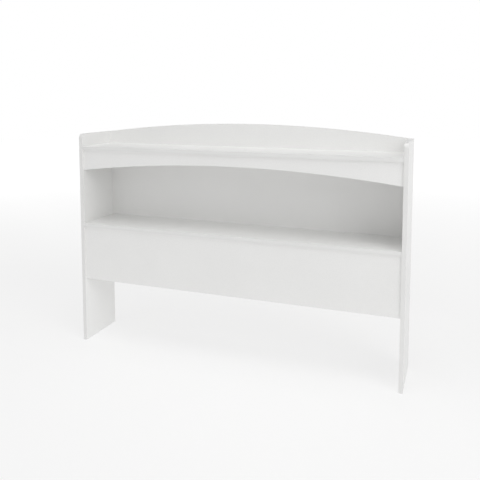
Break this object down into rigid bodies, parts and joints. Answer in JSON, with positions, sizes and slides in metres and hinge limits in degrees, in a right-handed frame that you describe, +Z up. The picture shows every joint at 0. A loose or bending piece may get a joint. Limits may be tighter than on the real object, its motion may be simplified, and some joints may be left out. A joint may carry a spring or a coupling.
{
  "type": "bookcase headboard",
  "caption": "Bookcase headboard for a double bed: tall side panels, low arched back board over a top shelf, arched apron, open niche, lower shelf and flat front panel above open legs.",
  "frame": {"origin": "centre of the footprint's bounding box, on the floor", "axes": "+X across the headboard's width, -Y towards the bed, +Y towards the wall, +Z up"},
  "size_m": [1.422, 0.241, 0.9939],
  "materials": {
    "white_laminate_board": "satin white melamine on particleboard",
    "edge_band": "satin white plastic edge band",
    "hardboard_back": "white painted face, brown textured rear",
    "cam_housing": "die-cast zinc, dull",
    "cam_bolt": "zinc plated",
    "dowel_wood": "raw beech",
    "plated_screw": "zinc plated",
    "white_plastic": "moulded white plastic",
    "nail_steel": "bright steel"
  },
  "bodies": {
    "root": {"left_side_panel": "white_laminate_board", "right_side_panel": "white_laminate_board", "top_shelf": "white_laminate_board", "lower_shelf": "white_laminate_board", "arched_back_board": "white_laminate_board", "front_apron": "white_laminate_board", "lower_front_panel": "white_laminate_board", "back_panel": "hardboard_back", "left_side_edge_band": "edge_band", "right_side_edge_band": "edge_band", "top_shelf_edge_band": "edge_band", "lower_shelf_edge_band": "edge_band", "arch_edge_band": "edge_band", "apron_edge_band": "edge_band", "lower_panel_edge_band": "edge_band", "top_shelf_cams": "cam_housing", "lower_shelf_cams": "cam_housing", "arch_board_cams": "cam_housing", "apron_cams": "cam_housing", "lower_panel_cams": "cam_housing", "top_shelf_cam_bolts": "cam_bolt", "lower_shelf_cam_bolts": "cam_bolt", "arch_board_cam_bolts": "cam_bolt", "apron_cam_bolts": "cam_bolt", "lower_panel_cam_bolts": "cam_bolt", "top_shelf_dowels": "dowel_wood", "lower_shelf_dowels": "dowel_wood", "arch_board_end_dowels": "dowel_wood", "arch_board_foot_dowels": "dowel_wood", "apron_end_dowels": "dowel_wood", "apron_top_dowels": "dowel_wood", "lower_panel_end_dowels": "dowel_wood", "lower_panel_top_dowels": "dowel_wood", "arch_board_screws": "plated_screw", "corner_brackets": "white_plastic", "bracket_screws": "plated_screw", "top_shelf_cam_covers": "white_plastic", "apron_cam_covers": "white_plastic", "back_panel_nails": "nail_steel"}
  },
  "joints": []
}
